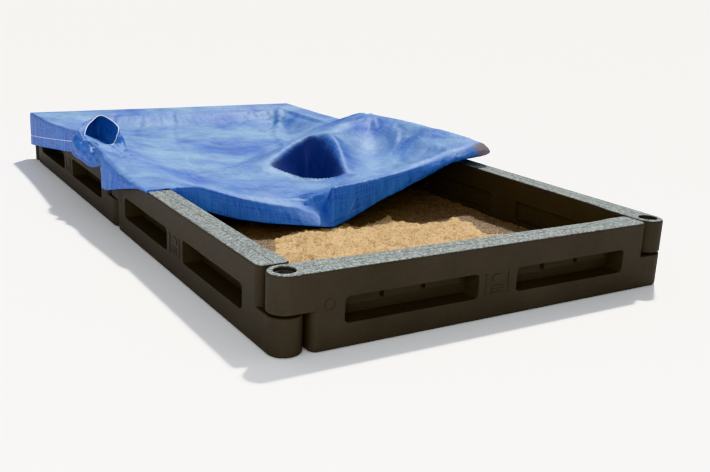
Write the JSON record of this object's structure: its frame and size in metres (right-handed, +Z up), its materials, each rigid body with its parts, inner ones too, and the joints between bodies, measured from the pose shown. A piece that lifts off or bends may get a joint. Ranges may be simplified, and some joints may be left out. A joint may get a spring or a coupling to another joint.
{
  "type": "sandbox with cover",
  "caption": "Rectangular playground sandbox of interlocking hollow plastic wall panels joined by tubular pins, with sand and a fitted fabric cover pulled back from the front.",
  "frame": {"origin": "on the ground at the centre of the rectangle of the six pins", "axes": "+Z up, +X to the right along the short uncovered front wall, +Y to the covered rear along the long walls"},
  "size_m": [1.3646, 2.5347, 0.3005],
  "materials": {
    "wall_plastic": "matte",
    "pin_plastic": "matte",
    "damp_sand": "matte",
    "dry_sand": "matte",
    "cover_fabric": "satin"
  },
  "bodies": {
    "box": {"front_panel": "wall_plastic", "right_front_panel": "wall_plastic", "right_rear_panel": "wall_plastic", "back_panel": "wall_plastic", "left_rear_panel": "wall_plastic", "left_front_panel": "wall_plastic", "pin_middle_left": "pin_plastic", "pin_middle_right": "pin_plastic", "pin_rear_left": "pin_plastic", "pin_rear_right": "pin_plastic", "sand_bed": "damp_sand", "sand_heap": "dry_sand"},
    "cover": {"cover": "cover_fabric", "cover_roll": "cover_fabric", "cover_pouch": "cover_fabric"},
    "front_left_pin": {"pin_front_left": "pin_plastic"},
    "front_right_pin": {"pin_front_right": "pin_plastic"}
  },
  "joints": [
    {"name": "cover_lift", "type": "slide", "parent": "box", "child": "cover", "axis": [0, 0, 1], "range_m": [0, 0.4]},
    {"name": "front_left_pin_lift", "type": "slide", "parent": "box", "child": "front_left_pin", "axis": [0, 0, 1], "range_m": [0, 0.22]},
    {"name": "front_right_pin_lift", "type": "slide", "parent": "box", "child": "front_right_pin", "axis": [0, 0, 1], "range_m": [0, 0.22]}
  ]
}
